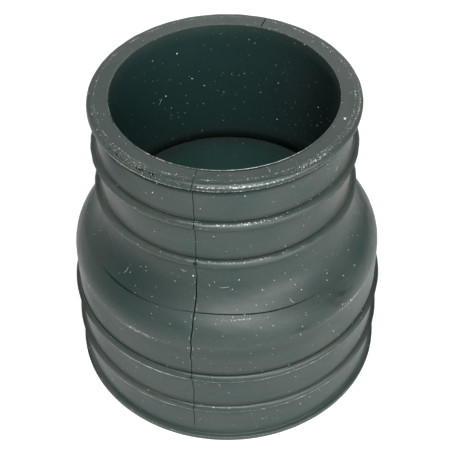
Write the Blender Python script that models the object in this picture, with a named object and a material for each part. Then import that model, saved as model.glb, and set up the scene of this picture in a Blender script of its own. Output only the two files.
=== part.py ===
"""Rubber bellows: a moulded reducing sleeve with two ribbed cuffs and a domed shoulder.

The sleeve is one turned body. Its outline is drawn once in the (radius, height)
plane and carried round the Z axis. Metres, +Z towards the small end, origin on the
axis at the large end's face.
"""

import math

import bpy
import numpy as np

# Overall length, face to face
LENGTH = 0.1024

# Small cuff
SMALL_BORE = 0.0670
SMALL_WALL = 0.0047
COLLAR_RISE = 0.0018
COLLAR_HEIGHT = 0.0021
COLLAR_ROUND = 0.0014
SMALL_RIB_RISE = 0.00195
SMALL_RIB_DROP = 0.01645

# Large cuff
LARGE_BORE = 0.0876
LARGE_WALL = 0.0047
FOOT_RISE = 0.0014
FOOT_HEIGHT = 0.0017
FOOT_ROUND = 0.0005
LARGE_RIB_RISE = 0.0014
LARGE_RIB_LIFT = 0.0158

# Ribs beside the clamp seats, two on each cuff
RIB_WIDTH = 0.0026
RIB_SPACING = 0.0151
RIBS_PER_CUFF = 2

# Shoulder: heights of its outer start, of the mould's split line and of its foot
SHOULDER_TOP = 0.0652
SHOULDER_SPLIT = 0.0535
SHOULDER_FOOT = 0.0450

# Inside of the shoulder: how far its start and its foot lie under the outer ones
FLARE_DROP = 0.0050
FLARE_FOOT_DROP = 0.0019

# Small round on the edges of both mouths
MOUTH_ROUND = 0.0004

# Fineness of the faceted surface
SEGMENTS = 64
ARC_STEPS = 5
CORNER_STEPS = 3

# Moulded rubber, greyed by dust
RUBBER_COLOUR = (0.095, 0.119, 0.109, 1.0)
RUBBER_ROUGHNESS = 0.55
SHARP_ANGLE = math.radians(35)


def arc(centre, radii, start, end, steps):
    """Points of an ellipse's arc about a centre, from one angle to another in degrees."""
    turn = np.radians(np.linspace(start, end, steps + 1))
    along = centre[0] + radii[0] * np.cos(turn)
    up = centre[1] + radii[1] * np.sin(turn)
    return list(zip(along, up))


def corner(centre, radius, start, end):
    """A quarter round of an edge."""
    return arc(centre, (radius, radius), start, end, CORNER_STEPS)


def rib(wall, height, rise):
    """Half an ellipse that stands out of a cuff's wall, from its top to its bottom."""
    return arc((wall, height), (rise, RIB_WIDTH / 2), 90, -90, ARC_STEPS)


def shoulder(upper, split, lower):
    """Two arcs that run down and out from a narrow wall to a wide one.

    Both walls are met upright, and the arcs meet on one slope at the split height.
    The half angle of that slope has the tangent (gain in radius) / (drop in height).
    """
    gain = lower[0] - upper[0]
    drop = upper[1] - lower[1]
    slope = 2 * math.atan2(gain, drop)
    hollow = (upper[1] - split) / math.sin(slope)
    dome = (split - lower[1]) / math.sin(slope)
    tilt = math.degrees(slope)
    down = arc((upper[0] + hollow, upper[1]), (hollow, hollow), 180, 180 + tilt, ARC_STEPS)
    out = arc((lower[0] - dome, lower[1]), (dome, dome), tilt, 0, ARC_STEPS)
    return down + out[1:]


def outline():
    """The closed section, down the outer side, in at the foot and up the bore."""
    small_bore = SMALL_BORE / 2
    small_wall = small_bore + SMALL_WALL
    collar = small_wall + COLLAR_RISE
    large_bore = LARGE_BORE / 2
    large_wall = large_bore + LARGE_WALL
    foot = large_wall + FOOT_RISE
    split_share = (SHOULDER_SPLIT - SHOULDER_FOOT) / (SHOULDER_TOP - SHOULDER_FOOT)
    flare_top = SHOULDER_TOP - FLARE_DROP
    flare_foot = SHOULDER_FOOT - FLARE_FOOT_DROP
    flare_split = flare_foot + (flare_top - flare_foot) * (1 - split_share)

    points = corner((collar - COLLAR_ROUND, LENGTH - COLLAR_ROUND), COLLAR_ROUND, 90, 0)
    points.append((collar, LENGTH - COLLAR_HEIGHT))
    points.append((small_wall, LENGTH - COLLAR_HEIGHT))
    for number in range(RIBS_PER_CUFF):
        height = LENGTH - SMALL_RIB_DROP - number * RIB_SPACING
        points += rib(small_wall, height, SMALL_RIB_RISE)

    points += shoulder((small_wall, SHOULDER_TOP), SHOULDER_SPLIT, (large_wall, SHOULDER_FOOT))
    for number in reversed(range(RIBS_PER_CUFF)):
        height = LARGE_RIB_LIFT + number * RIB_SPACING
        points += rib(large_wall, height, LARGE_RIB_RISE)
    points.append((large_wall, FOOT_HEIGHT))
    points.append((foot, FOOT_HEIGHT))
    points += corner((foot - FOOT_ROUND, FOOT_ROUND), FOOT_ROUND, 0, -90)

    points += corner((large_bore + MOUTH_ROUND, MOUTH_ROUND), MOUTH_ROUND, 270, 180)
    inside = shoulder((small_bore, flare_top), flare_split, (large_bore, flare_foot))
    points += reversed(inside)
    points += corner((small_bore + MOUTH_ROUND, LENGTH - MOUTH_ROUND), MOUTH_ROUND, 180, 90)
    return np.array(points)


def turned(name, section):
    """Carry a closed section round Z and join its copies with quads that face out."""
    around = np.linspace(0, 2 * np.pi, SEGMENTS, endpoint=False)[:, None]
    radius, height = section.T
    points = np.stack(
        [np.cos(around) * radius, np.sin(around) * radius, height + 0 * around], axis=-1
    )
    count = len(section)
    here = np.arange(SEGMENTS)[:, None] * count
    there = np.roll(here, -1, axis=0)
    point = np.arange(count)
    after = np.roll(point, -1)
    quads = np.stack([here + point, here + after, there + after, there + point], axis=-1)
    mesh = bpy.data.meshes.new(name)
    mesh.from_pydata(points.reshape(-1, 3).tolist(), [], quads.reshape(-1, 4).tolist())
    mesh.shade_smooth()
    mesh.set_sharp_from_angle(angle=SHARP_ANGLE)
    return mesh


def moulded_rubber():
    """A dark grey-green rubber, matte from the mould."""
    material = bpy.data.materials.new("moulded_rubber")
    material.use_nodes = True
    shader = material.node_tree.nodes["Principled BSDF"]
    shader.inputs["Base Color"].default_value = RUBBER_COLOUR
    shader.inputs["Roughness"].default_value = RUBBER_ROUGHNESS
    shader.inputs["Metallic"].default_value = 0.0
    return material


for old in list(bpy.data.objects):
    bpy.data.objects.remove(old, do_unlink=True)

bellows = bpy.data.objects.new("bellows", turned("bellows", outline()))
bellows.data.materials.append(moulded_rubber())
bpy.context.collection.objects.link(bellows)
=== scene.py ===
# %% [markdown]
# # A moulded rubber bellows
#
# This lesson dresses one turned rubber part: a sleeve that joins a narrow pipe to a
# wide one. The engineering model gives its size and place. Here we make the fine
# surface that a camera sees: the ribs, the lines that the mould left, the worn edges
# and the dust.
#
# We start by loading that model as a fixed frame. Nothing in it is moved or resized.

# %% Load the frame
import math
from functools import reduce
from itertools import combinations

import bpy
import numpy as np
from mathutils import Euler, Matrix, Vector


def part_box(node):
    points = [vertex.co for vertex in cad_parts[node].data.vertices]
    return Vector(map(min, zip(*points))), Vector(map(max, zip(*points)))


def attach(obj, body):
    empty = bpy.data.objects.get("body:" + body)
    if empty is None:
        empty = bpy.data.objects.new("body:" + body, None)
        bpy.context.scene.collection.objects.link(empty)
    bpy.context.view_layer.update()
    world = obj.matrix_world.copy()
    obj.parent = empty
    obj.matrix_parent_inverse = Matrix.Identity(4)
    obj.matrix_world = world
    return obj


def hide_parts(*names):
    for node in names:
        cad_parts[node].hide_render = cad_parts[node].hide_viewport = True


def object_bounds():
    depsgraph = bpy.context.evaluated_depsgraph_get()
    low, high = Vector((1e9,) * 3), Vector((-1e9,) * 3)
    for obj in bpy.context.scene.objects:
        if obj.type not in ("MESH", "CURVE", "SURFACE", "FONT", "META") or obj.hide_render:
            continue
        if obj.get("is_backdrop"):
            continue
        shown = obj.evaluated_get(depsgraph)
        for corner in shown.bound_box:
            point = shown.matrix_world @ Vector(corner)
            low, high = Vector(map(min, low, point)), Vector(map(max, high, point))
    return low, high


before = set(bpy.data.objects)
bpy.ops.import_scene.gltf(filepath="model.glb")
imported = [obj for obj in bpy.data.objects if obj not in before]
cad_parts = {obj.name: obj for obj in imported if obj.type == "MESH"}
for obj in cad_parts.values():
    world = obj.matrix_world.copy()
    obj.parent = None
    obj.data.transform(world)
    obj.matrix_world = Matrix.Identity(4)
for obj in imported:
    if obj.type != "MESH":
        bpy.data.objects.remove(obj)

cad_low, cad_high = (list(corner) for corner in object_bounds())
low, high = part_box("bellows")
LENGTH = high.z - low.z
REACH = high.x
print(f"frame: {1000 * LENGTH:.1f} mm long, {2000 * REACH:.1f} mm across")

# %% [markdown]
# ## The camera
#
# The part was photographed from above, close enough for the near side to look larger
# than the far side. A camera copies that only if its distance and its lens are both
# right, so both are given here as they were worked out from the outlines of the mouth,
# the ribs and the foot: ellipses whose size and tilt allow one camera only.

# %% Place the camera
MM = 0.001
EYE_HEIGHT = 316.5 * MM
EYE_BACK = 269.6 * MM
LOOK_DOWN = 44.985
LOOK_ASIDE = 0.030
ROLL = 1.103
LENS = 93.75
SENSOR = 36.0

camera_data = bpy.data.cameras.new("camera")
camera_data.lens = LENS
camera_data.sensor_width = SENSOR
camera_data.clip_start = 0.01
camera = bpy.data.objects.new("camera", camera_data)
bpy.context.collection.objects.link(camera)
turn = Euler((math.radians(90 - LOOK_DOWN), 0, -math.radians(LOOK_ASIDE))).to_matrix()
turn = turn @ Matrix.Rotation(-math.radians(ROLL), 3, "Z")
camera.matrix_world = Matrix.Translation((0, -EYE_BACK, EYE_HEIGHT)) @ turn.to_4x4()
bpy.context.scene.camera = camera
print(f"camera: {LENS} mm lens, {1000 * EYE_BACK:.0f} mm back, {1000 * EYE_HEIGHT:.0f} mm up")

# %% [markdown]
# ## The section
#
# A turned part is one outline carried round an axis. Its outline is made of few kinds
# of stretch: straight walls, quarter rounds, ribs and the shoulder's two arcs. We list
# them in order, down the outside and up the inside. All lengths in this lesson are in
# millimetres until the mesh is made.

# %% Sizes of the cuffs
SMALL_BORE = 33.50
SMALL_WALL = 38.20
COLLAR = 40.00
COLLAR_HEIGHT = 2.45
COLLAR_ROUND = 1.40
SMALL_RIB_RISE = 1.95
SMALL_RIB_DROP = 16.45
LARGE_BORE = 43.80
LARGE_WALL = 48.50
LARGE_RIB_RISE = 1000 * REACH - LARGE_WALL
LARGE_RIB_LIFT = 15.80
FOOT_HEIGHT = 1.70
FOOT_ROUND = 0.50
RIB_WIDTH = 2.60
RIB_SPACING = 15.10
TOP = 1000 * LENGTH
print(f"cuffs: {2 * SMALL_BORE:.1f} and {2 * LARGE_BORE:.1f} mm inside")

# %% Sizes of the shoulder and of the small rounds
SHOULDER_TOP = 65.20
SHOULDER_SPLIT = 53.50
SHOULDER_FOOT = 45.00
FLARE_TOP = 60.20
FLARE_SPLIT = 53.00
FLARE_FOOT = 43.10
MOUTH_ROUND = 0.40
SMALL_ROUND = 0.25
FOOT_TOP_ROUND = 0.30
LIP_RISE = 0.18
LIP_WIDTH = 0.38
ROOT_ROUND = 0.12
print(f"shoulder: {SHOULDER_TOP - SHOULDER_FOOT:.1f} mm high")

# %% Stretches of the outline
def arc(centre, radii, start, end, count):
    """Points of an arc: centre plus one or two radii times the cosine and sine of an angle in degrees."""
    angle = np.radians(np.linspace(start, end, count))
    return np.array(centre) + np.array(radii) * np.stack([np.cos(angle), np.sin(angle)], -1)


def straight(start, end, count):
    """Evenly spaced points strictly between two ends."""
    share = np.linspace(0, 1, count + 2)[1:-1, None]
    return np.array(start) * (1 - share) + np.array(end) * share


RIB_SQUARENESS = 0.66
RIB_UPPER_CUT = 0.28


def rib(wall, height, rise):
    """Half a squared ellipse that stands out of a wall, its upper corner drawn in.

    Its points are rise x cos^p out and half the width x sin^p up, with the squareness as p,
    which draws the ellipse's corners out towards those of a rectangle. Above the middle the
    way out is cut by 0.28 x sin^p. A tiny hollow round joins each end to the wall.
    """
    half = RIB_WIDTH / 2
    above = arc((wall + ROOT_ROUND, height + half + ROOT_ROUND), ROOT_ROUND, 180, 260, 3)
    angle = np.radians(np.linspace(86, -85, 24))
    out = np.cos(angle) ** RIB_SQUARENESS
    up = np.sign(angle) * np.abs(np.sin(angle)) ** RIB_SQUARENESS
    out = out * (1 - RIB_UPPER_CUT * np.clip(up, 0, 1))
    crest = np.stack([wall + rise * out, height + half * up], -1)
    below = arc((wall + ROOT_ROUND, height - half - ROOT_ROUND), ROOT_ROUND, 100, 180, 3)
    return np.concatenate([above, crest, below])


def shoulder(upper, split, lower, count):
    """Two arcs from a narrow wall down to a wide one, which meet on one slope at the split height.

    Half of that slope's angle has the tangent (gain in radius) / (drop in height).
    """
    slope = 2 * math.atan2(lower[0] - upper[0], upper[1] - lower[1])
    hollow = (upper[1] - split) / math.sin(slope)
    dome = (split - lower[1]) / math.sin(slope)
    tilt = math.degrees(slope)
    down = arc((upper[0] + hollow, upper[1]), hollow, 180, 180 + tilt, count)
    out = arc((lower[0] - dome, lower[1]), dome, tilt, 0, count)
    return np.concatenate([down, out[1:]])


# %% Heights of the ribs
# The collar counts as the first rib, so the ribs are numbered from the second down.
rib_2 = TOP - SMALL_RIB_DROP
rib_3 = rib_2 - RIB_SPACING
rib_5 = LARGE_RIB_LIFT
rib_4 = rib_5 + RIB_SPACING
RIBS = (rib_2, rib_3, rib_4, rib_5)
half_rib = RIB_WIDTH / 2
step = half_rib + ROOT_ROUND
collar_foot = TOP - COLLAR_HEIGHT
face = TOP - LIP_RISE
foot_reach = LARGE_WALL + LARGE_RIB_RISE
print("ribs at", [round(middle, 2) for middle in RIBS])

# %% Down the outside
outside = [
    straight((SMALL_BORE + 0.64, face), (SMALL_BORE + 1.10, face), 2),
    straight((SMALL_BORE + 1.00, face), (COLLAR - COLLAR_ROUND, face), 8),
    arc((COLLAR - COLLAR_ROUND, face - COLLAR_ROUND), COLLAR_ROUND, 90, 0, 12),
    straight((COLLAR, face - COLLAR_ROUND), (COLLAR, collar_foot + SMALL_ROUND), 2),
    arc((COLLAR - SMALL_ROUND, collar_foot + SMALL_ROUND), SMALL_ROUND, 0, -90, 5),
    arc((SMALL_WALL + SMALL_ROUND, collar_foot - SMALL_ROUND), SMALL_ROUND, 90, 180, 4),
    straight((SMALL_WALL, collar_foot - 0.3), (SMALL_WALL, rib_2 + step), 7),
    rib(SMALL_WALL, rib_2, SMALL_RIB_RISE),
    straight((SMALL_WALL, rib_2 - step), (SMALL_WALL, rib_3 + step), 7),
    rib(SMALL_WALL, rib_3, SMALL_RIB_RISE),
    straight((SMALL_WALL, rib_3 - step), (SMALL_WALL, SHOULDER_TOP), 2),
    shoulder((SMALL_WALL, SHOULDER_TOP), SHOULDER_SPLIT, (LARGE_WALL, SHOULDER_FOOT), 17),
    straight((LARGE_WALL, SHOULDER_FOOT), (LARGE_WALL, rib_4 + step), 8),
    rib(LARGE_WALL, rib_4, LARGE_RIB_RISE),
    straight((LARGE_WALL, rib_4 - step), (LARGE_WALL, rib_5 + step), 7),
    rib(LARGE_WALL, rib_5, LARGE_RIB_RISE),
    straight((LARGE_WALL, rib_5 - step), (LARGE_WALL, FOOT_HEIGHT + 0.3), 7),
    arc((LARGE_WALL + SMALL_ROUND, FOOT_HEIGHT + SMALL_ROUND), SMALL_ROUND, 180, 270, 4),
    arc((foot_reach - FOOT_TOP_ROUND, FOOT_HEIGHT - FOOT_TOP_ROUND), FOOT_TOP_ROUND, 90, 0, 4),
    arc((foot_reach - FOOT_ROUND, FOOT_ROUND), FOOT_ROUND, 0, -90, 5),
]
outer_count = sum(len(stretch) for stretch in outside)
print(f"outside: {outer_count} points")

# %% Up the inside, and the whole
inside = [
    straight((foot_reach - FOOT_ROUND, 0), (LARGE_BORE + MOUTH_ROUND, 0), 3),
    arc((LARGE_BORE + MOUTH_ROUND, MOUTH_ROUND), MOUTH_ROUND, 270, 180, 4),
    straight((LARGE_BORE, MOUTH_ROUND), (LARGE_BORE, FLARE_FOOT), 9),
    shoulder((SMALL_BORE, FLARE_TOP), FLARE_SPLIT, (LARGE_BORE, FLARE_FOOT), 12)[::-1],
    straight((SMALL_BORE, FLARE_TOP), (SMALL_BORE, TOP - 1), 10),
    arc((SMALL_BORE + 0.28, TOP - 0.40), (0.28, 0.40), 180, 100, 5),
    arc((SMALL_BORE + 0.25, face), (LIP_WIDTH, LIP_RISE), 80, 0, 5),
]
outline = np.concatenate(outside + inside)
radius, height = outline.T
hop = np.linalg.norm(np.roll(outline, -1, 0) - outline, axis=1)
along = np.concatenate([[0], np.cumsum(hop)])[:-1]
GIRTH = hop.sum()
print(f"outline: {len(outline)} points, {GIRTH:.0f} mm round, longest step {hop.max():.1f} mm")

# %% [markdown]
# ## The grid of the skin
#
# The skin is a function of two parameters: the place along the outline and the angle
# about the axis. The mould's two halves met in a plane through the axis and left a
# fine line down the front and another at the back. The columns of the grid crowd
# together there, so that the line can be a real little groove.

# %% Choose the angles
FRONT_LINE = math.radians(-103.1)
BACK_LINE = math.radians(69.5)
EVEN_COLUMNS = 318
CROWD = np.array([0.10, 0.20, 0.32, 0.48, 0.75]) / COLLAR
crowd = np.concatenate([-CROWD[::-1], [0], CROWD])
even = np.linspace(-math.pi, math.pi, EVEN_COLUMNS, endpoint=False)
for line in (FRONT_LINE, BACK_LINE):
    even = even[np.abs(even - line) > CROWD[-1] * 1.4]
angles = np.sort(np.concatenate([even, FRONT_LINE + crowd, BACK_LINE + crowd]))
print(f"grid: {len(angles)} columns, {2 * len(angles) * len(outline)} triangles")

# %% Radius and height as columns, to meet the angles as a row
outer = (np.arange(len(outline)) < outer_count).astype(float)[:, None]
inner = 1 - outer
level = height[:, None]
reach = radius[:, None]
stand = np.where(reach > 45, reach - LARGE_WALL, reach - SMALL_WALL)
print(f"stand: up to {(stand * outer).max():.2f} mm off the cuffs' walls")

# %% [markdown]
# ## Small helpers for shapes and marks
#
# A few little functions do all the drawing of marks: a bump, a soft step, bumps set at
# an angle, a height or a radius, and a smooth unevenness. The unevenness is a sum of
# waves. Each has a whole number of crests round the axis and along the outline, so it
# meets itself without a jump both ways.

# %% Bumps and steps
def bell(distance, width):
    """A smooth bump: 1 at distance nought, falling to 0.37 at the given width."""
    return np.exp(-((distance / width) ** 2))


def smooth_between(value, start, end):
    """0 before start, 1 after end, and an S-shaped rise between them."""
    share = np.clip((value - start) / (end - start), 0, 1)
    return share * share * (3 - 2 * share)


def turned_from(line):
    """Angle from a line to every column, in radians, the short way round."""
    return (angles - line + math.pi) % (2 * math.pi) - math.pi


def toward(degrees, spread):
    """A bump round the axis: its middle in degrees from +X (the front is at -90), its spread in radians."""
    return bell(turned_from(math.radians(degrees)), spread)


def at_height(middle, width):
    """A bump along the height, in millimetres."""
    return bell(level - middle, width)


def at_reach(middle, width):
    """A bump along the radius, in millimetres."""
    return bell(reach - middle, width)


def by_ribs(ribs, offset, width, shares=(1, 1, 1, 1)):
    """A bump at the same offset from the middle of each rib, times the rib's share, all added up."""
    return sum(share * at_height(middle + offset, width) for middle, share in zip(ribs, shares))


def covered(mark):
    """How much of the grid a mark covers, in words."""
    return f"{100 * (mark > 0.3).mean():.2f}% of the points"


# %% Waves
MEAN_RADIUS = 42


def waves(seed, round_size, along_size, count=36):
    """Unevenness over the whole grid, about -1 to 1.

    It is a mean of cosines of (whole number x angle + whole number x place along the
    outline + a start). The sizes are the usual lengths of one wave, in millimetres,
    round the axis and along the outline.
    """
    rng = np.random.default_rng(seed)
    around = 2 * math.pi * MEAN_RADIUS / (round_size * rng.uniform(0.6, 2.0, count))
    around = np.rint(around) * rng.choice([-1, 1], count)
    onward = np.rint(GIRTH / (along_size * rng.uniform(0.6, 2.0, count)))
    start = rng.uniform(0, 2 * math.pi, count)
    place = 2 * math.pi * along[:, None, None] / GIRTH
    phase = around * angles[None, :, None] + onward * place + start
    return np.cos(phase).mean(-1) * math.sqrt(count) / 1.4


soft_waves = waves(3, 26, 22)
fine_waves = waves(5, 6.5, 3.0)
patchy = 0.5 + 0.5 * np.clip(waves(8, 9, 40), -1, 1)
broken_up = np.clip(0.5 + 0.5 * waves(51, 3.6, 60), 0, 1)
print(f"waves: soft {soft_waves.std():.2f}, fine {fine_waves.std():.2f} on average")

# %% [markdown]
# ## Marks of the mould
#
# Each mark is one array over the grid, mostly from 0 to 1. The same arrays lift the
# surface and, later, tint the rubber, so that shape and colour stay together.
#
# The parting line is a fine dark groove: uneven, strongest over the shoulder and gone
# near the foot. A second, fainter line runs round the shoulder where two rings of the
# mould met. It fades out at both sides. A gap array measures how far a point is from
# its line, in millimetres, and more where the line is faint. The material draws the
# line from it, so that the line can be finer than the grid.

# %% Parting lines, front and back
GAP_LIMIT = 2
front_gap = np.abs(turned_from(FRONT_LINE)) * reach
back_gap = np.abs(turned_from(BACK_LINE)) * reach
on_shoulder = smooth_between(level, 66, 62) * smooth_between(level, 34, 44)
on_face = (reach < COLLAR - 0.9) * (level > collar_foot)
off_foot = smooth_between(level, 3.0, 7.0)
line_strength = (0.50 + 0.45 * on_shoulder) * off_foot
uneven = 0.80 + 0.20 * np.sin(level * 3.1 + 2.0 * np.sin(level * 0.9)) * np.sin(level * 7.3 + 1.0)
front_line = bell(front_gap, 0.21) * outer * line_strength * uneven * (1 - 0.45 * on_face)
back_line = bell(back_gap, 0.19) * outer * (0.60 + 0.35 * on_face) * off_foot
parting = np.maximum(front_line, back_line)
front_side = turned_from(FRONT_LINE) * reach / np.clip(line_strength * (1 - 0.3 * on_face), 0.05, 1)
back_side = turned_from(BACK_LINE) * reach / 0.7
parting_gap = np.where(front_gap < back_gap, front_side, -back_side)
parting_gap = np.where(outer > 0, np.clip(parting_gap, -GAP_LIMIT, GAP_LIMIT), GAP_LIMIT)
print("parting lines cover", covered(parting))

# %% Line round the shoulder
split_level = SHOULDER_SPLIT + 0.7 * toward(-97, 0.38)
split_width = 0.62 + 0.40 * toward(-138, 0.16) - 0.12 * toward(-118, 0.11)
split_gap = np.clip((level - split_level) / split_width, -GAP_LIMIT, GAP_LIMIT)
split_gap = np.where(outer > 0, split_gap, GAP_LIMIT)
from_front = turned_from(math.radians(-92))
split_share = smooth_between(from_front, -1.15, -0.85) * smooth_between(from_front, 0.95, 0.30)
split_share = 0.06 + 0.94 * split_share * (1 - 0.62 * toward(-112, 0.22))
split = bell(level - split_level, 0.5) * outer
print(f"shoulder line: {split_level.min():.1f} to {split_level.max():.1f} mm high")

# %% Nicks where the parting line crosses the ribs
nick = by_ribs(RIBS, 0.3, 0.42) * bell(front_gap, 0.7) * outer * (0.5 + 0.5 * at_height(rib_3, 3))
print("nicks cover", covered(nick))

# %% [markdown]
# ## Marks of use
#
# Edges that rub on things turn pale: the collar's round, the lower edges of the ribs
# and the end of the dome. Some pale marks are painted highlights and a painted glint: on
# the lip, the ribs' upper corners, the shoulder's split and beside the parting line. The
# roots of the ribs, the wall under the collar and the bore's flare are darkened with
# painted shade, with some old dirt in the roots. Wear and painted light are uneven round
# the sleeve, so each mark has its own share round the axis.

# %% Shares round the axis
front_share = toward(-84, 0.46)
left_share = toward(-135, 0.45)
right_share = toward(-50, 0.35)
far_right = toward(-12, 0.45)
far_sides = toward(-14, 0.34) + toward(-166, 0.34)
to_side = 1 - toward(-90, 0.75)
off_front = 1 - toward(-90, 0.6)
lip_share = toward(-78, 0.42)
dome_left = toward(-156, 0.24)
dome_right = toward(-36, 0.34)
cuff_sides = (level > 60) * (toward(-172, 0.42) + toward(-18, 0.38))
print(f"front share: {front_share.mean():.2f} on average")

# %% Painted shade at the roots of the ribs, and on and under each rib
# The roots, the wall under each rib and the crease on the fourth rib are darkened as painted shade, with some
# dirt in the roots.
root = by_ribs(RIBS, half_rib, 0.14, shares=(1, 1, 1, 0.5)) * bell(stand, 0.30)
root = root * np.clip(1 - 0.85 * cuff_sides, 0, 1)
rough_right = toward(-36, 0.24) * at_height(rib_2, 2)
under_top = -0.90 + 0.72 * rough_right + 0.45 * (level > 60) * toward(-118, 0.50)
below = [level - middle for middle in RIBS]
under = sum(smooth_between(way, under_top, under_top - 0.2) * (way > -1.6) for way in below)
under = under + 0.6 * by_ribs(RIBS, -half_rib - 0.3, 0.9) * (stand < 0.3)
rib_4_crease = 0.30 * at_height(rib_4 + 0.15, 0.18) * (stand > 0.6)
rib_dark = np.clip(root + 0.92 * under + rib_4_crease, 0, 1) * outer
print("dark on the ribs:", covered(rib_dark))

# %% Painted shade at the collar, the lip and the flare
# All of these are painted shade: under the collar, a thin line on the collar's round above its foot, the ring
# by the lip, the bore's edge and the flare inside.
shade_foot = collar_foot - 2.30 - 0.30 * left_share - 0.95 * to_side
under_collar = smooth_between(level, collar_foot + 0.08, collar_foot - 0.05) * outer
under_collar = under_collar * smooth_between(level, shade_foot - 0.15, shade_foot + 0.15)
above_foot = at_height(collar_foot + 1.02, 0.16) * (reach > COLLAR - 0.3) * outer
lip_groove = at_reach(SMALL_BORE + 0.66, 0.17) * (level > TOP - 0.5) * (0.08 + 0.92 * lip_share)
bore_edge = at_height(TOP - 0.75, 0.30) * (reach < SMALL_BORE + 0.2) * inner * (0.3 + 0.7 * lip_share)
flare_shade = inner * smooth_between(level, 63, 57.5) * smooth_between(level, 50.5, 52.0)
print(f"shade under the collar: {collar_foot - shade_foot.min():.1f} mm deep at most")

# %% Where the collar and the lip are rubbed, and the lip's painted glint
round_wear = at_height(face - 0.80, 0.42) * at_reach(COLLAR - 0.22, 0.5) * outer
round_right = at_reach(COLLAR - 0.95, 0.42) * (level > face - 0.6) * outer * far_right
collar_edge = at_height(collar_foot + 0.22, 0.20) * at_reach(COLLAR, 0.3) * outer
round_start = at_reach(COLLAR - COLLAR_ROUND - 0.75, 0.26) * at_height(face, 0.3) * outer
face_band = at_reach(COLLAR - COLLAR_ROUND + 0.2, 0.9) * (level > face - 0.5) * outer
# The lip's edge is partly wear and partly a painted glint, strongest at the front.
lip_glint_and_wear = at_reach(SMALL_BORE + 0.18, 0.25) * at_height(TOP - 0.05, 0.25)
lip_left = at_reach(SMALL_BORE + 0.2, 0.4) * (level > TOP - 0.7) * toward(-124, 0.30)
collar_wear_and_glint = [
    0.65 * round_wear * (0.15 + 0.85 * front_share) * (0.6 + 0.5 * patchy),
    0.40 * round_right,
    collar_edge * (0.12 + 0.20 * front_share + 0.60 * np.maximum(left_share, 0.4 * patchy)),
    0.72 * round_start * (0.45 + 0.55 * patchy),
    0.30 * face_band * np.clip(left_share + 1.3 * right_share, 0, 1.3),
    lip_glint_and_wear * (0.16 + 0.14 * patchy + 0.90 * lip_share),
    lip_left * np.clip(0.75 * broken_up + 0.1, 0, 0.7),
]
print(len(collar_wear_and_glint), "worn places on the collar and the lip")

# %% Where the ribs and the cuffs are rubbed, and painted highlights on them
rib_edge = by_ribs((rib_4, rib_5), -0.72, 0.30) * (stand > 0.6) * outer
rib_edge = rib_edge * np.clip(0.50 + 0.8 * left_share + 0.7 * toward(-62, 0.3), 0, 1)
scuffed = toward(-121, 0.22) * at_height(rib_4, 2)
# rib_top is a painted highlight along the upper corners of the second and third ribs at the front.
rib_top = by_ribs((rib_2, rib_3), 1.02, 0.25) * (stand > 0.5) * outer
upper_edges = by_ribs((rib_2, rib_3), -0.40, 0.22) * (stand > 0.8) * outer
# below_right is a painted highlight on the narrow cuff's right side, and beside_line a painted highlight along
# the parting line's edges.
below_right = at_height(rib_2 - 4.15, 0.30) * toward(-38, 0.15) * outer
beside_line = bell(front_gap - 0.48, 0.20) * outer * (0.35 + 0.65 * on_shoulder)
rib_wear_and_highlights = [
    rib_edge * (0.34 + 0.10 * left_share + 0.50 * broken_up + 0.55 * scuffed),
    0.60 * rib_top * front_share * (0.3 + 0.7 * patchy),
    0.60 * upper_edges * left_share * (0.3 + 0.7 * patchy),
    0.80 * below_right,
    0.70 * beside_line * np.clip(fine_waves + 0.22, 0, 1),
]
print(len(rib_wear_and_highlights), "worn places on the ribs and the cuffs")

# %% Where the dome and the foot are rubbed, the painted highlight at the split, and all wear and highlights together
dome_level = SHOULDER_FOOT - 0.4 - 0.9 * toward(-122, 0.35) + 0.4 * dome_right
on_dome_end = (reach > LARGE_WALL - 1) * outer
dome_share = 0.08 + 0.14 * patchy + 0.36 * left_share + 0.34 * dome_right + 0.22 * dome_left
# The split's glow is a painted highlight just under the shoulder's line at the front. The pale line at the
# dome's end is wear and a painted highlight.
split_glow = bell(level - (split_level - 0.95), 0.26) * toward(-85, 0.20) * outer
foot_edge = at_height(FOOT_HEIGHT - 0.2, 0.3) * bell(stand - LARGE_RIB_RISE, 0.4) * outer
dome_wear_and_highlights = [
    bell(level - dome_level, 0.42) * on_dome_end * dome_share,
    0.62 * split_glow * (0.5 + 0.5 * patchy),
    0.35 * foot_edge * patchy,
]
# This mark holds the wear and the painted highlights and glints together.
wear_and_highlight = np.clip(reduce(np.maximum, collar_wear_and_glint + rib_wear_and_highlights + dome_wear_and_highlights), 0, 1)
print("worn edges cover", covered(wear_and_highlight))

# %% Where rubbing made it shine
polish = by_ribs(RIBS, 0.95, 0.45, shares=(1.0, 0.34, 0.45, 0.8)) * (stand > 0.25) * outer
lip_shine = lip_share * at_reach(SMALL_BORE + 0.3, 0.5) * (level > TOP - 0.6)
polish = np.clip(polish + round_wear + lip_shine, 0, 1)
print("polish covers", covered(polish))

# %% [markdown]
# ## Work out the skin
#
# Every point of the outline is turned about the axis, then moved a little along the
# outline's normal: in for the grooves and nicks, out for the burr on the lip, and a few
# hundredths of a millimetre for the unevenness of moulded rubber. The parting line
# wanders sideways by up to half a millimetre, as the mould's edge did, and the soft
# sleeve is a little out of round. Nothing is pushed past the engineering model's own
# length and reach.

# %% Lift along the normal
tangent = np.roll(outline, -1, 0) - np.roll(outline, 1, 0)
tangent /= np.linalg.norm(tangent, axis=1, keepdims=True)
normal = np.stack([-tangent[:, 1], tangent[:, 0]], -1)

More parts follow.
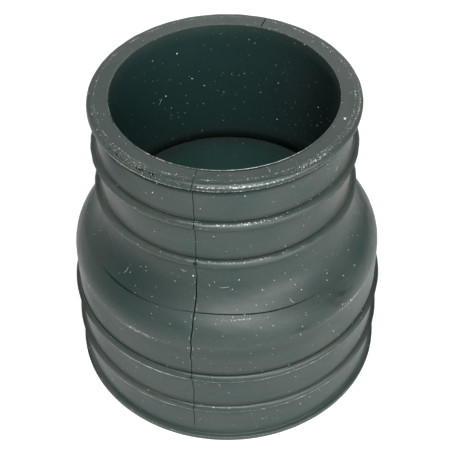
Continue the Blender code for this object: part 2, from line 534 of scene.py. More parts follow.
GROOVE = 0.20
SPLIT_GROOVE = 0.03
NICK = 0.16
BURR = 0.12
on_rib = by_ribs(RIBS, 0, 1.6) * (stand > 0.3) * outer
burr = bell(front_gap, 1.1) * at_reach(SMALL_BORE + 0.4, 0.35) * (level > TOP - 1)
lift = (
    -GROOVE * parting - SPLIT_GROOVE * split - NICK * nick
    + 0.03 * fine_waves * outer + 0.04 * wear_and_highlight * (fine_waves - 0.4) - 0.05 * lip_groove
    + 0.045 * on_rib * waves(21, 4.5, 60)
    + BURR * burr * np.sin(200 * turned_from(FRONT_LINE) + 0.6)
)
print(f"lift: {lift.min():.2f} mm at the deepest")

# %% Keep it inside the model's length and reach
below_top = smooth_between(TOP - level, 0.02, 0.4)
inside_reach = smooth_between(1000 * REACH - reach, 0.02, 0.25)
lift = np.where(lift > 0, lift * below_top * inside_reach, lift)
lift = lift * smooth_between(level, 0.0, 0.6)
print(f"lift kept: {lift.min():.2f} to {lift.max():.2f} mm")

# %% Wander of the line, roundness and the low lip
wander = 0.14 * np.sin(level * 0.21 + 3.4) + 0.10 * np.sin(level * 0.9) + 0.03 * np.sin(level * 4.3) - 0.25
sideways = wander / MEAN_RADIUS * bell(turned_from(FRONT_LINE), 0.10) * smooth_between(TOP - level, 0.2, 2)
out_of_true = 0.30 * toward(-4, 0.45) * smooth_between(level, 92, 101)
out_of_true = out_of_true + 0.18 * np.cos(2 * angles)[None, :] * at_height(62, 6) * outer
lip_down = 0.85 * (1 - lip_share) * np.clip(level - face, 0, None)
print(f"line wanders {wander.min():.2f} to {wander.max():.2f} mm")

# %% All points of the skin
grid_angle = angles[None, :] + sideways
grid_radius = reach + lift * normal[:, :1] + out_of_true
grid_height = level + lift * normal[:, 1:] - lip_down
skin = np.stack([np.cos(grid_angle) * grid_radius, np.sin(grid_angle) * grid_radius, grid_height], -1) * MM
skin[..., 2] += low.z
print(f"skin: top at {1000 * skin[..., 2].max():.2f} mm")

# %% [markdown]
# ## From arrays to a mesh
#
# Quads join each point to its neighbours along the outline and round the axis. Both
# directions close on themselves, so the surface has no edge anywhere. The marks are
# stored on the points as attributes: they follow the surface wherever it goes.

# %% Helpers for meshes
def mesh_of(name, points, faces):
    """A smooth mesh from an array of points in metres and an array of faces with equal corner counts."""
    sides = faces.shape[1]
    mesh = bpy.data.meshes.new(name)
    mesh.vertices.add(len(points))
    mesh.vertices.foreach_set("co", points.astype(np.float32).ravel())
    mesh.loops.add(faces.size)
    mesh.loops.foreach_set("vertex_index", faces.astype(np.int32).ravel())
    mesh.polygons.add(len(faces))
    mesh.polygons.foreach_set("loop_start", np.arange(0, faces.size, sides, dtype=np.int32))
    mesh.update(calc_edges=True)
    mesh.validate()
    mesh.shade_smooth()
    return mesh


def mask(mesh, name, values):
    """Store one number for every point, for the materials to read."""
    attribute = mesh.attributes.new(name, "FLOAT", "POINT")
    attribute.data.foreach_set("value", np.ascontiguousarray(values, np.float32).ravel())


def piece(name, mesh):
    """An object at the origin that shows the mesh."""
    shown = bpy.data.objects.new(name, mesh)
    bpy.context.collection.objects.link(shown)
    return shown


def copies(faces, corners, count):
    """The same faces for several equal bodies, whose points follow one another in one list."""
    return (faces[None] + corners * np.arange(count)[:, None, None]).reshape(-1, 3)


# %% Build the sleeve
row = np.arange(len(outline))[:, None] * len(angles)
next_row = np.roll(row, -1, axis=0)
column = np.arange(len(angles))
next_column = np.roll(column, -1)
quads = np.stack([row + column, row + next_column, next_row + next_column, next_row + column], -1)
sleeve_mesh = mesh_of("sleeve", skin.reshape(-1, 3), quads.reshape(-1, 4))
sleeve = piece("sleeve", sleeve_mesh)
print(f"sleeve: {len(sleeve_mesh.vertices)} points, {len(sleeve_mesh.polygons)} quads")

# %% [markdown]
# ## What the finish needs to know
#
# Dust lies on ledges, above the ribs and on the far sides. The same grey layer also
# carries a painted sheen over the outside, and painted light and shade: paler strips and
# patches where light falls, and less of it where the shoulder lies in shade. So dust and
# painted light is one array, dark marks (mostly painted shade, with some dirt) are
# another, and the pits of scuffs, the painted light on the wide bore's wall and the
# mould's lines have arrays of their own.

# %% Dust and painted sheen on the walls, with painted light and shade in patches
on_wall = (stand < 0.3) * outer
upward = np.clip(normal[:, 1:], 0, 1)
shoulder_shade_left = at_height(56, 8) * toward(-134, 0.55)
shoulder_shade_right = at_height(52, 5) * toward(-52, 0.26)
# Over the dust the grey is a painted sheen. The terms toward -172, -166 and -26 degrees and at the split are
# painted light on pale strips and patches. The terms that take it away, on the shoulder's two sides and toward
# -145 degrees, are painted shade.
dust_and_light = (
    0.105 + 0.005 * upward + 0.03 * soft_waves * outer - 0.04 * shoulder_shade_left
    + 0.18 * toward(-172, 0.30) * (reach > 45) * outer
    - 0.05 * toward(-145, 0.30) * (at_height(93, 5) + at_height(37, 7)) * outer
    + 0.24 * toward(-166, 0.13) * at_height(41, 6) * outer
    + 0.20 * toward(-26, 0.17) * at_height(78.5, 3.5) * outer
    + 0.035 * toward(-84, 0.25) * at_height(53, 1.6) * outer
)
print(f"film on the walls: {dust_and_light.mean():.3f} on average")

# %% Dust on ledges, with painted light on the ribs' bands at the sides and on the edges
dome_ledge = np.clip(0.15 + 0.85 * left_share + 0.7 * dome_right + 1.7 * dome_left, 0, 2)
on_end = (reach > SMALL_BORE + 0.8) * (reach < COLLAR - 0.8) * (level > face - 0.3) * outer
# The terms that grow towards the sides on and above the ribs are painted light. The round at the far right and
# the dome's end get painted highlights over their dust.
dust_and_light = (
    dust_and_light + (0.06 + 0.20 * to_side + 0.10 * far_right) * by_ribs(RIBS, half_rib + 0.9, 0.9) * on_wall
    + 0.14 * by_ribs(RIBS, half_rib + 0.45, 0.45) * on_wall
    + (0.08 * toward(-150, 0.55) + 0.12 * to_side) * (on_rib + round_wear) * (stand > 0.3)
    + 0.16 * bell(level - dome_level, 0.7) * on_dome_end * dome_ledge
    + (0.10 + 0.18 * left_share) * (level < FOOT_HEIGHT + 0.3) * (stand > 0.4) * outer
    + 0.36 * round_right + 0.05 * on_end * off_front
)
print(f"film with the ledges: {dust_and_light.mean():.3f} on average")

# %% Painted light on the wide bore's wall and on strips at the sides, and a bore without dust or sheen
# The deep mark is painted light: strips near the outline on both sides, the ribs' roots there, and the wide
# bore's far wall, lit through the narrow mouth, are made paler.
strips = (toward(-18, 0.20) + toward(-163, 0.20)) * smooth_between(level, 40, 34) * on_wall
cuff_roots = by_ribs((rib_2, rib_3), half_rib + 0.2, 0.7) * cuff_sides * (stand < 0.35) * outer
deep = inner * smooth_between(level, 51.0, 48.0) * (0.70 + 0.30 * smooth_between(level, 36, 45))
deep = np.clip(deep + 0.16 * strips + 0.25 * cuff_roots, 0, 1)
# Inside the narrow bore there is no dust and no painted sheen.
bore = inner * smooth_between(TOP - level, 0.1, 1.2) * (level > 0.2)
dust_and_light = (dust_and_light + 0.12 * strips + 0.12 * cuff_roots) * (1 - bore)
print(f"bore without film: {100 * (bore > 0.5).mean():.0f}% of the outline")

# %% Pits of scuffs
on_band = at_reach(COLLAR - 0.60, 0.85) * (level > collar_foot + 0.15) * outer
bore_rim = at_reach(SMALL_BORE + 0.15, 0.35) * (level > TOP - 0.8)
foot_side = at_height(0.9, 0.9) * (stand > 0.5) * outer
split_left = bell(level - split_level, 0.35) * toward(-138, 0.20) * outer
pits = 0.85 * on_band * (toward(-128, 0.38) + 0.8 * toward(-48, 0.28))
pits = pits + 0.9 * bore_rim * toward(-150, 0.7) + 0.6 * foot_side * (0.3 + 0.7 * left_share)
pits = np.clip(pits + 0.6 * split_left, 0, 1)
print("pits cover", covered(pits))

# %% Dark marks: mostly painted shade, with dirt, smears and nicks
# Painted shade covers the right of the narrow bore, patches on the left and front of the walls, the ribs'
# outline at the far sides, the collar's round at the far right and the rim's face away from the front. The
# smears are dirt, and the nicks are marks of the mould.
bore_right = bore * toward(20, 0.6) * smooth_between(level, 50, 60)
side_shade = toward(-143, 0.25) * (0.21 * at_height(95, 4.5) + 0.15 * at_height(40, 5.5) + 0.10 * at_height(24, 5))
side_shade = (side_shade + 0.14 * toward(-85, 0.5) * (at_height(41.5, 2.2) + at_height(61, 2.2))) * outer
smears = 0.34 * at_height(49.8, 2.4) * toward(-44, 0.10) + 0.24 * at_height(46.8, 1.6) * toward(-63, 0.08)
smears = smears * np.clip(0.8 + 0.5 * fine_waves, 0, 1.2) * outer
dark_ribs = 0.62 * far_sides * (level < 36) + 0.35 * cuff_sides * (level < 90) * (level > rib_3 - 2)
dark_ribs = dark_ribs * (stand > 0.5) * outer
dark_round = 0.45 * far_right * at_height(face - 0.85, 0.30) * (reach > COLLAR - 0.6) * outer
rim_face_shade = (0.05 + 0.10 * toward(175, 0.6)) * on_end * off_front
dark = np.clip(
    nick + 0.95 * rib_dark + (0.60 + 0.35 * left_share) * under_collar + 0.30 * above_foot
    + 0.75 * bore_right + side_shade + smears + dark_ribs + dark_round + rim_face_shade
    + 0.95 * lip_groove + 0.7 * bore_edge + 0.8 * flare_shade + 0.40 * shoulder_shade_left + 0.30 * shoulder_shade_right, 0, 1)
print("dark marks cover", covered(dark))

# %% Store the marks
MARKS = {
    "deep": deep, "dust_and_light": dust_and_light, "dark": dark, "pits": pits, "wear_and_highlight": wear_and_highlight, "polish": polish,
    "parting_gap": parting_gap, "split_gap": split_gap, "split_share": split_share,
}
for name, values in MARKS.items():
    mask(sleeve_mesh, name, np.broadcast_to(values, skin.shape[:2]))
    print(f"{name}: mean {np.mean(values):.3f}, most {np.max(values):.2f}")

# %% [markdown]
# ## Materials
#
# Colours are read off as sRGB hex values, the way that a picture program shows them,
# and turned linear, the way that light adds up. One small function adds a node with its
# settings and links.

# %% Helpers for materials
def linear(code):
    """An sRGB hex colour as linear red, green, blue and alpha."""
    parts = np.array([int(code[i:i + 2], 16) for i in (1, 3, 5)]) / 255
    low_part, high_part = parts / 12.92, ((parts + 0.055) / 1.055) ** 2.4
    return (*np.where(parts <= 0.04045, low_part, high_part), 1.0)


def fill(node, **inputs):
    """Set or link a node's inputs by name or number. A node as a value means its first output in use."""
    for name, value in inputs.items():
        socket = node.inputs[int(name[1:]) if name[1:].isdigit() else name.replace("_", " ")]
        if isinstance(value, bpy.types.Node):
            value = next(output for output in value.outputs if output.enabled)
        if isinstance(value, bpy.types.NodeSocket):
            node.id_data.links.new(value, socket)
        else:
            socket.default_value = value


def add(tree, kind, settings=None, **inputs):
    """Add a node, give it settings and fill its inputs."""
    node = tree.nodes.new("ShaderNode" + kind)
    for name, value in (settings or {}).items():
        setattr(node, name, value)
    fill(node, **inputs)
    return node


def new_material(name):
    """An empty node material, its Principled shader and its node tree."""
    material = bpy.data.materials.new(name)
    material.use_nodes = True
    return material, material.node_tree, material.node_tree.nodes["Principled BSDF"]


COLOURS = {"data_type": "RGBA"}
ADD = {"operation": "ADD"}
MULTIPLY = {"operation": "MULTIPLY"}
MULTIPLY_ADD = {"operation": "MULTIPLY_ADD"}
CLAMPED = {"operation": "MULTIPLY", "use_clamp": True}
LARGER = {"operation": "MAXIMUM"}
SMALLER_THAN = {"operation": "LESS_THAN"}
S_SHAPED = {"interpolation_type": "SMOOTHSTEP"}

# %% [markdown]
# ### Moulded rubber
#
# The sleeve is EPDM or a like rubber, cured in a steel mould: a dark green-grey body
# that shines softly, since the steel was smooth but not polished. Handling has left a
# grey film of dust outside, and the same grey also carries a painted sheen and painted
# light and shade. The narrow bore keeps the rubber's own colour, and the wide bore's far
# wall is painted paler as painted light. Fine grit catches the light as tiny white specks.

# %% Rubber: dust and painted light, and mottle
RUBBER = "#203937"
DUST_AND_LIGHT = "#7A7366"
MOTTLE = "#0B1A19"
PAINTED_LIGHT_TEAL = "#3E6862"

rubber, tree, shader = new_material("moulded_rubber_dusty")
place = add(tree, "TexCoord").outputs["Object"]
marks = {name: add(tree, "Attribute", {"attribute_name": name}).outputs["Fac"] for name in MARKS}

# Clouds of thicker and thinner dust and painted sheen, 9 mm across, and streaks left by
# a wiping hand: noise that is long round the sleeve and 0.8 mm high.
clouds = add(tree, "TexNoise", Vector=place, Scale=1 / 0.009, Detail=3.0, Roughness=0.6)
wiped_place = add(tree, "Mapping", Vector=place, Scale=(0.06, 0.06, 1.0))
streaks = add(tree, "TexNoise", Vector=wiped_place, Scale=1 / 0.0008, Detail=2.0, Roughness=0.5)
clouds_part = add(tree, "MapRange", Value=clouds, From_Min=0.25, From_Max=0.75, To_Min=0.84, To_Max=1.16)
streaks_part = add(tree, "MapRange", Value=streaks, From_Min=0.3, From_Max=0.7, To_Min=0.78, To_Max=1.22)
dust_and_light_now = add(tree, "Math", MULTIPLY, _0=marks["dust_and_light"], _1=clouds_part)
dust_and_light_now = add(tree, "Math", CLAMPED, _0=dust_and_light_now, _1=streaks_part)
colour = add(tree, "Mix", COLOURS, _0=dust_and_light_now, _6=linear(RUBBER), _7=linear(DUST_AND_LIGHT))

# The rubber itself is mottled a little, 0.7 mm, as filled rubber is.
mottle = add(tree, "TexNoise", Vector=place, Scale=1 / 0.0007, Detail=2.0, Roughness=0.6)
mottle = add(tree, "MapRange", Value=mottle, From_Min=0.3, From_Max=0.7, To_Min=0.0, To_Max=0.22)
colour = add(tree, "Mix", COLOURS, _0=mottle, _6=colour, _7=linear(MOTTLE))

# Where the deep mark lies, the colour is painted paler: painted light on the wide bore's
# far wall, lit through the narrow mouth, and on strips near the outline at the sides.
colour = add(tree, "Mix", COLOURS, _0=marks["deep"], _6=colour, _7=linear(PAINTED_LIGHT_TEAL))
print(len(tree.nodes), "nodes so far")

# %% Rubber: worn edges and painted highlights
WEAR_AND_HIGHLIGHT = "#BCC4BE"
RUB_DOT = "#D5DAD6"

# Worn edges and painted highlights are broken up by grit-sized noise, 0.35 mm.
grit = add(tree, "TexNoise", Vector=place, Scale=1 / 0.00035, Detail=2.0, Roughness=0.7)
broken = add(tree, "Math", MULTIPLY_ADD, _0=grit, _1=1.5, _2=marks["wear_and_highlight"])
wear_and_highlight_now = add(tree, "MapRange", S_SHAPED, Value=broken, From_Min=1.08, From_Max=1.45)
colour = add(tree, "Mix", COLOURS, _0=wear_and_highlight_now, _6=colour, _7=linear(WEAR_AND_HIGHLIGHT))

# Rubbed edges also have crisp white dots: points in cells of 0.8 mm, larger where wear and
# painted highlight are.
dots = add(tree, "TexVoronoi", Vector=place, Scale=1 / 0.0008)
dot_size = add(tree, "Math", MULTIPLY, _0=marks["wear_and_highlight"], _1=0.60)
dot = add(tree, "Math", SMALLER_THAN, _0=dots, _1=dot_size)
colour = add(tree, "Mix", COLOURS, _0=dot, _6=colour, _7=linear(RUB_DOT))
print(len(tree.nodes), "nodes so far")

# %% Rubber: painted shade and dirt, pits and lines
SHADE_AND_DIRT = "#03120F"

# The dark marks are painted shade with some old dirt: in the ribs' roots, under the
# collar, in the bore and on the sides. The lines of the mould hold shade and old dirt too.
shade_and_dirt = add(tree, "MapRange", Value=grit, From_Min=0.3, From_Max=0.6, To_Min=0.75, To_Max=1.0)
shade_and_dirt = add(tree, "Math", CLAMPED, _0=shade_and_dirt, _1=marks["dark"])

# Scuffs have dark pits too, twice as long round the sleeve as they are high.
pit_place = add(tree, "Mapping", Vector=place, Scale=(0.5, 0.5, 1.0))
pit_cells = add(tree, "TexVoronoi", Vector=pit_place, Scale=1 / 0.0007)
pit_size = add(tree, "Math", MULTIPLY, _0=marks["pits"], _1=0.42)
pit = add(tree, "Math", SMALLER_THAN, _0=pit_cells, _1=pit_size)
pit = add(tree, "Math", MULTIPLY, _0=pit, _1=0.85)
shade_and_dirt = add(tree, "Math", LARGER, _0=shade_and_dirt, _1=pit)

# A line is dark where its gap is small. Noise moves the gap's middle by up to half the
# wobble each way, and the line ends softly at its half width.
LINES = (
    # gap, noise, wobble, half width, weight
    ("parting_gap", streaks, 0.50, 0.29, 0.95), ("split_gap", grit, 0.30, 0.26, 0.75),
)
lines = []
for gap, noise, wobble, half_width, weight in LINES:
    aside = add(tree, "Math", MULTIPLY_ADD, _0=noise, _1=wobble, _2=-wobble / 2)
    beside = add(tree, "Math", ADD, _0=aside, _1=marks[gap])
    beside = add(tree, "Math", {"operation": "ABSOLUTE"}, _0=beside)
    line = add(tree, "MapRange", S_SHAPED, Value=beside, From_Min=0.11, From_Max=half_width,
               To_Min=weight, To_Max=0.0)
    if gap == "split_gap":
        line = add(tree, "Math", MULTIPLY, _0=line, _1=marks["split_share"])
    shade_and_dirt = add(tree, "Math", LARGER, _0=shade_and_dirt, _1=line)
    lines.append(line)
colour = add(tree, "Mix", COLOURS, _0=shade_and_dirt, _6=colour, _7=linear(SHADE_AND_DIRT))

# A narrow groove swallows the shine, and so does the painted shade.
shine = add(tree, "Mix", COLOURS, _0=shade_and_dirt, _6=(1, 1, 1, 1), _7=(0, 0, 0, 1))
print(len(tree.nodes), "nodes so far")

# %% Rubber: specks of grit
SPECK = "#DDE0DC"

# One point in each 1.7 mm cell, shown as a dot if it lies at the skin.
cells = add(tree, "TexVoronoi", Vector=place, Scale=1 / 0.0017)
size = add(tree, "SeparateColor", Color=cells.outputs["Color"])
size = add(tree, "MapRange", Value=size, To_Min=0.015, To_Max=0.095)
speck = add(tree, "Math", SMALLER_THAN, _0=cells, _1=size)
speck = add(tree, "Math", MULTIPLY, _0=speck, _1=0.8)
colour = add(tree, "Mix", COLOURS, _0=speck, _6=colour, _7=linear(SPECK))
print(len(tree.nodes), "nodes so far")

# %% Rubber: gloss and grain
gloss = add(tree, "MapRange", Value=clouds, From_Min=0.3, From_Max=0.7, To_Min=0.34, To_Max=0.43)
gloss = add(tree, "Math", MULTIPLY_ADD, _0=marks["polish"], _1=-0.15, _2=gloss)
gloss = add(tree, "Math", ADD, _0=gloss, _1=wear_and_highlight_now)
gloss = add(tree, "Math", {"operation": "ADD", "use_clamp": True}, _0=gloss, _1=shade_and_dirt)

# The grain is what the mould's steel printed into the rubber, 0.5 mm, with the wiping
# streaks over it and the roughness of the worn edges and painted highlights.
grain = add(tree, "TexNoise", Vector=place, Scale=1 / 0.0005, Detail=2.0, Roughness=0.6)
relief = add(tree, "Math", MULTIPLY_ADD, _0=wear_and_highlight_now, _1=2.0, _2=grain)
relief = add(tree, "Math", ADD, _0=relief, _1=streaks)
for line in lines:
    relief = add(tree, "Math", MULTIPLY_ADD, _0=line, _1=-3.0, _2=relief)
bump = add(tree, "Bump", Height=relief, Strength=0.5, Distance=0.00006)
fill(shader, Base_Color=colour, Specular_Tint=shine, Roughness=gloss, IOR=1.5, Normal=bump)
sleeve_mesh.materials.append(rubber)
print(len(tree.nodes), "nodes in all")

# %% Put the sleeve in place of the plain solid
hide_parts("bellows")
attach(sleeve, "root")

# %% [markdown]
# ## Grit and lint
#
# Used rubber holds grains of grit and short fibres by static. The largest are real
# little bodies here, as they catch light on one side. Both are placed by the same two
# parameters as the skin, angle and place along the outline, so they sit on it wherever
# it curves. A few stand where the photographed part had them, the rest fall by chance
# from a fixed seed.

# %% Points on the skin
def on_skin(angle, place_along, above):
    """Points at an angle and a place along the outline, raised along its normal, and three directions.

    Radius, height and normal are read off the outline by straight lines between its
    points. The directions point out, round the sleeve and up along the outline.
    """
    laps = np.concatenate([along, [GIRTH]])
    lists = (radius, height, *normal.T)
    r, z, out_r, out_z = (np.interp(place_along % GIRTH, laps, np.append(row, row[0])) for row in lists)
    size = np.hypot(out_r, out_z)
    out_r, out_z = out_r / size, out_z / size
    r, z = r + above * out_r, z + above * out_z
    cos, sin = np.cos(angle), np.sin(angle)
    points = np.stack([r * cos, r * sin, z], -1)
    out = np.stack([out_r * cos, out_r * sin, out_z], -1)
    round_way = np.stack([-sin, cos, np.zeros_like(sin)], -1)
    return points, out, round_way, np.cross(out, round_way)


def nearest_along(spots):
    """Place along the outline of the point nearest to each spot's radius and height."""
    far = np.hypot(spots[:, 1, None] - radius, spots[:, 2, None] - height)
    return along[far.argmin(1)]


def in_box(points):
    """Points in millimetres, kept inside the engineering model's box and turned to metres."""
    return np.clip(points, 1000 * np.array(cad_low), 1000 * np.array(cad_high)) * MM


# %% Grains seen in the photo
SEED = 11
rng = np.random.default_rng(SEED)
SEEN = np.array([
    # angle, radius, height, size
    (81.6, 43.6, 45.1, 0.30), (115.6, 33.5, 92.2, 0.26), (-105.1, 38.2, 64.7, 0.30),
    (28.9, 33.5, 81.1, 0.27), (-21.0, 36.2, 102.2, 0.55), (107.6, 33.5, 82.8, 0.25),
    (-121.8, 38.2, 93.1, 0.27), (123.8, 33.5, 77.7, 0.26), (-39.6, 48.4, 45.9, 0.24),
    (101.0, 33.5, 77.9, 0.22), (59.0, 33.5, 67.3, 0.20), (-82.2, 38.2, 96.0, 0.23),
    (42.5, 33.5, 101.0, 0.20), (-102.7, 39.2, 71.9, 0.20), (29.2, 33.5, 75.3, 0.20),
    (-85.0, 38.4, 63.2, 0.21), (-42.2, 38.2, 97.2, 0.20), (17.1, 33.5, 80.2, 0.18),
    (-127.4, 48.5, 43.4, 0.17), (58.8, 33.5, 82.7, 0.18), (-62.5, 48.5, 10.0, 0.18),
    (-104.5, 48.5, 43.6, 0.18), (-110.8, 37.4, 102.2, 0.17), (-64.1, 38.8, 87.1, 0.17),
    (-43.9, 41.3, 56.3, 0.13), (-44.4, 41.9, 55.5, 0.19), (-46.1, 42.6, 54.8, 0.16),
    (-38.5, 44.7, 53.0, 0.20), (-31.2, 44.9, 52.8, 0.18), (-69.5, 38.9, 60.9, 0.20),
    (-62.0, 39.6, 59.1, 0.16), (-44.3, 48.3, 46.6, 0.16), (-64.0, 48.5, 44.7, 0.19),
])
print(f"{len(SEEN)} grains seen")

# %% Grains that fall by chance
GRAINS = 340
share = hop * radius
chance = rng.choice(len(outline), GRAINS, p=share / share.sum())
grain_along = along[chance] + rng.uniform(0, 1, GRAINS) * hop[chance]
grain_angle = rng.uniform(-math.pi, math.pi, GRAINS)

# A fifth of them sit on the collar's outer band, left and right of the front.
FIFTH = GRAINS // 5
side = rng.choice([-130, -52], FIFTH)
grain_angle[:FIFTH] = np.radians(side + rng.normal(0, 15, FIFTH))
band_reach = COLLAR - 1.1 + rng.normal(0, 0.5, FIFTH)
grain_along[:FIFTH] = nearest_along(np.stack([side, band_reach, np.full(FIFTH, face - 0.1)], -1))

# Another fifth lie on the back of the narrow bore, where a finger doesn't reach.
in_bore = slice(FIFTH, 2 * FIFTH)
grain_angle[in_bore] = np.radians(rng.triangular(0, 35, 165, FIFTH))
bore_height = rng.uniform(64, 99, FIFTH)
bore_spots = np.stack([grain_angle[in_bore], np.full(FIFTH, SMALL_BORE), bore_height], -1)
grain_along[in_bore] = nearest_along(bore_spots) + rng.uniform(-1.5, 1.5, FIFTH)

grain_along = np.concatenate([nearest_along(SEEN), grain_along])
grain_angle = np.concatenate([np.radians(SEEN[:, 0]), grain_angle])
grain_size = np.concatenate([SEEN[:, 3], 0.05 + 0.09 * rng.uniform(0, 1, GRAINS) ** 3])
print(f"grains: {len(grain_size)}, from {2 * grain_size.min():.2f} to {2 * grain_size.max():.2f} mm across")

# %% A grain's shape
# An icosahedron: three golden rectangles at right angles give its twelve corners.
GOLD = (1 + math.sqrt(5)) / 2
BALL = np.array([(s, t * GOLD, 0) for s in (-1, 1) for t in (-1, 1)])
BALL = np.concatenate([BALL, BALL[:, [2, 0, 1]], BALL[:, [1, 2, 0]]]) / math.hypot(1, GOLD)


def hull_faces(points):
    """Triangles of a small convex body, turned to face out.

    They are every three points that have all the others on one side.
    """
    corners = np.array(list(combinations(range(len(points)), 3)))
    a, b, c = points[corners].transpose(1, 0, 2)
    across = np.cross(b - a, c - a)
    side = np.einsum("ij,ikj->ik", across, points[None] - a[:, None])
    flat = (side < 1e-6).all(1) | (side > -1e-6).all(1)
    corners, across, a = corners[flat], across[flat], a[flat]
    inward = (across * a).sum(1) < 0
    corners[inward] = corners[inward][:, ::-1]
    return corners


ball_faces = hull_faces(BALL)
print(f"ball: {len(BALL)} corners, {len(ball_faces)} triangles")

# %% Build the grains
LONG, SHORT, LOW = 1.25, 0.8, 0.6
points, out, round_way, up_way = on_skin(grain_angle, grain_along, 0.35 * grain_size)
lumps = BALL[None] * rng.uniform(0.7, 1.15, (len(grain_size), len(BALL), 1)) * grain_size[:, None, None]
spin = rng.uniform(0, math.pi, len(grain_size))[:, None]
long_way = np.cos(spin) * round_way + np.sin(spin) * up_way
short_way = np.cross(out, long_way)
grain_points = points[:, None] + lumps[..., :1] * long_way[:, None] * LONG
grain_points = grain_points + lumps[..., 1:2] * short_way[:, None] * SHORT + lumps[..., 2:] * out[:, None] * LOW
grain_faces = copies(ball_faces, len(BALL), len(grain_size))
grains = piece("grit_grains", mesh_of("grit_grains", in_box(grain_points.reshape(-1, 3)), grain_faces))
print(f"grit: {len(grain_faces)} triangles")

# %% Where the lint fibres lie
# Each fibre is a tube about 0.07 mm thick along a bent line on the skin: its heading
# turns steadily from start to end, so the line is an arc of a circle drawn on the surface.
FIBRES = 24
STEPS = 10
SEEN_LINT = np.array([
    # angle, radius, height, length, heading, bend
    (-110.2, 38.2, 66.0, 2.6, 250, 190), (-94.0, 39.0, 60.7, 2.9, -8, 25), (-64.3, 42.3, 55.6, 2.0, 250, 90),
    (126.0, 33.5, 80.0, 2.4, 50, 20), (-139.0, 42.5, 56.5, 2.6, 40, 60),
])
fibre_angle = np.concatenate([np.radians(SEEN_LINT[:, 0]), rng.uniform(-math.pi, math.pi, FIBRES)])
chance = rng.choice(len(outline), FIBRES, p=share / share.sum())
fibre_along = np.concatenate([nearest_along(SEEN_LINT), along[chance]])
fibre_length = np.concatenate([SEEN_LINT[:, 3], rng.uniform(0.9, 2.6, FIBRES)])
heading = np.radians(np.concatenate([SEEN_LINT[:, 4], rng.uniform(0, 360, FIBRES)]))
bend = np.radians(np.concatenate([SEEN_LINT[:, 5], rng.normal(0, 90, FIBRES)]))
step_share = np.linspace(0, 1, STEPS)
facing = heading[:, None] + bend[:, None] * step_share
advance = fibre_length[:, None] / (STEPS - 1)
round_run = np.cumsum(np.cos(facing) * advance, 1)
along_run = -np.cumsum(np.sin(facing) * advance, 1)
start_radius = np.interp(fibre_along, along, radius)[:, None]
path_angle = fibre_angle[:, None] + round_run / start_radius
path, out, *_ = on_skin(path_angle, fibre_along[:, None] + along_run, 0.05)
print(f"fibres: {len(path)}, from {fibre_length.min():.1f} to {fibre_length.max():.1f} mm long")

# %% Build the lint fibres
SIDES = 5
FIBRE_RADIUS = 0.034
thickness = FIBRE_RADIUS * np.sin(math.pi * (0.12 + 0.76 * step_share))[None, :] ** 0.5
ahead = np.gradient(path, axis=1)
ahead /= np.linalg.norm(ahead, axis=2, keepdims=True)
beside = np.cross(out, ahead)
ring = np.linspace(0, 2 * math.pi, SIDES, endpoint=False)
tube = np.cos(ring)[:, None] * beside[:, :, None] + np.sin(ring)[:, None] * out[:, :, None]
tube = path[:, :, None] + tube * thickness[..., None, None]
fibre_points = np.concatenate([tube.reshape(len(path), -1, 3), path[:, [0, -1]]], 1)
corner = np.arange(SIDES)
following = (corner + 1) % SIDES
first = np.arange(STEPS - 1)[:, None] * SIDES + corner
second = np.arange(STEPS - 1)[:, None] * SIDES + following
halves = [np.stack([first, second, second + SIDES], -1), np.stack([first, second + SIDES, first + SIDES], -1)]
last = (STEPS - 1) * SIDES
cap_start = np.stack([np.full(SIDES, STEPS * SIDES), following, corner], -1)
cap_end = np.stack([np.full(SIDES, STEPS * SIDES + 1), last + corner, last + following], -1)
fibre_faces = np.concatenate([np.concatenate(halves).reshape(-1, 3), cap_start, cap_end])
fibre_faces = copies(fibre_faces, fibre_points.shape[1], len(path))
fibres = piece("lint_fibres", mesh_of("lint_fibres", in_box(fibre_points.reshape(-1, 3)), fibre_faces))
print(f"lint: {len(path)} fibres, {len(fibre_faces)} triangles")

# %% Grit and lint: finish
# Stone dust and cotton: dull, near white, each lump a little different.
GRIT_DARK = "#9DA39F"
WHITE = "#FFFFFF"
grit_finish, tree, shader = new_material("stone_grit")
place = add(tree, "TexCoord").outputs["Object"]
tone = add(tree, "TexNoise", Vector=place, Scale=1 / 0.0006, Detail=1.0)
tone = add(tree, "Mix", COLOURS, _0=tone, _6=linear(GRIT_DARK), _7=linear(WHITE))
fill(shader, Base_Color=tone, Roughness=0.8)
for loose in (grains, fibres):
    loose.data.materials.append(grit_finish)
    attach(loose, "root")

# %% [markdown]
# ## Floor and light
#
# The floor is white paper. It is lit like everything else, and lifted to full white only
# for the camera and for mirror-like rays, so that its shadow stays and the rubber isn't
# lit any more for it. Under the sleeve it isn't lifted: there the bore's shade is real.

# %% Floor
SPAN = 4.0
PAPER = "#E8E8E8"
floor_corners = np.array([(-SPAN, -SPAN, 0), (SPAN, -SPAN, 0), (SPAN, SPAN, 0), (-SPAN, SPAN, 0)])
floor = piece("floor", mesh_of("floor", floor_corners, np.array([(0, 1, 2, 3)])))
paper, tree, shader = new_material("white_paper_floor")
path_kind = add(tree, "LightPath")
camera_ray = path_kind.outputs["Is Camera Ray"]
seen = add(tree, "Math", LARGER, _0=camera_ray, _1=path_kind.outputs["Is Glossy Ray"])
seen = add(tree, "Math", LARGER, _0=seen, _1=path_kind.outputs["Is Transmission Ray"])
floor_place = add(tree, "TexCoord").outputs["Object"]
from_axis = add(tree, "VectorMath", {"operation": "LENGTH"}, _0=floor_place)
open_floor = add(tree, "Math", {"operation": "GREATER_THAN"}, _0=from_axis, _1=0.047)
seen = add(tree, "Math", MULTIPLY, _0=seen, _1=open_floor)
lift_white = add(tree, "Math", MULTIPLY_ADD, _0=camera_ray, _1=0.30, _2=0.15)
lift_white = add(tree, "Math", MULTIPLY, _0=seen, _1=lift_white)
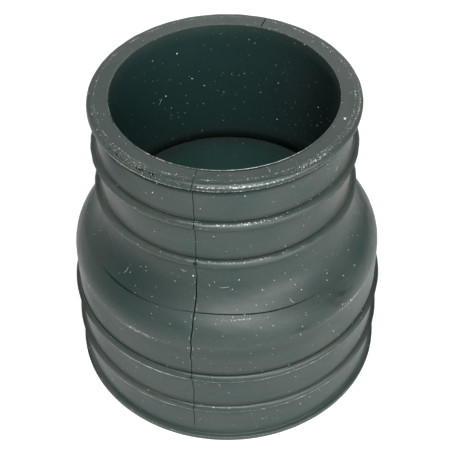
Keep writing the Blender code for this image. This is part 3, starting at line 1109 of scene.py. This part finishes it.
fill(shader, Base_Color=linear(PAPER), Roughness=0.9, Specular_IOR_Level=0.0)
fill(shader, Emission_Color=(1, 1, 1, 1), Emission_Strength=lift_white)
floor.data.materials.append(paper)
floor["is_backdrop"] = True
print(f"floor: {2 * SPAN:.0f} m square")

# %% [markdown]
# The rubber's shine tells where the light was. The ribs and the dome gleam where they
# look almost straight up, the flat rim is a mid grey and the upright walls pick up the
# pale floor. So a large soft box stands high in front, a low one in front to the right
# and a lower one near the horizon on the right. Weak ones fill the left and the back,
# and one low behind lights the back's foot.

# %% World
world = bpy.data.worlds.new("studio")
bpy.context.scene.world = world
world.use_nodes = True
tree = world.node_tree
tree.nodes.clear()
path_kind = add(tree, "LightPath")
seen_in_gloss = add(tree, "Math", MULTIPLY_ADD, _0=path_kind.outputs["Is Glossy Ray"], _1=0.22, _2=0.03)
room = add(tree, "Background", Color=(1, 1, 1, 1), Strength=seen_in_gloss)
white = add(tree, "Background", Color=(1, 1, 1, 1), Strength=1.0)
camera_ray = path_kind.outputs["Is Camera Ray"]
mixed = add(tree, "MixShader", Fac=camera_ray, _1=room, _2=white)
add(tree, "OutputWorld", Surface=mixed)
print(f"world: {len(tree.nodes)} nodes")


# %% Lamps
def soft_box(name, azimuth, elevation, width, tall, glow, distance=1.3):
    """A soft box that faces the sleeve, by the directions it fills, in degrees, and its brightness.

    Watts are pi x area x brightness, so that a white card close to it would show that brightness.
    """
    data = bpy.data.lights.new(name, "AREA")
    data.shape = "RECTANGLE"
    data.size = 2 * distance * math.tan(math.radians(width / 2))
    data.size_y = 2 * distance * math.tan(math.radians(tall / 2))
    data.energy = math.pi * data.size * data.size_y * glow
    light = bpy.data.objects.new(name, data)
    bpy.context.collection.objects.link(light)
    turn_to, rise = math.radians(azimuth), math.radians(elevation)
    away = Vector((math.cos(turn_to) * math.cos(rise), math.sin(turn_to) * math.cos(rise), math.sin(rise)))
    light.location = away * distance + Vector((0, 0, 0.05))
    light.rotation_euler = away.to_track_quat("Z", "Y").to_euler()
    light.visible_camera = False
    print(f"{name}: {data.size:.2f} x {data.size_y:.2f} m, {data.energy:.1f} W")


soft_box("front_high", 270, 54, 44, 36, 6.5)
soft_box("front_low", 292, 25, 60, 20, 2.8)
soft_box("right_horizon", 315, 8, 45, 14, 5.4)
soft_box("back_fill", 90, 34, 46, 36, 1.0)
soft_box("left_fill", 158, 32, 34, 34, 0.9)
soft_box("back_low", 90, 10, 50, 14, 2.4)

# %% View settings and finish
bpy.context.scene.view_settings.view_transform = "Standard"
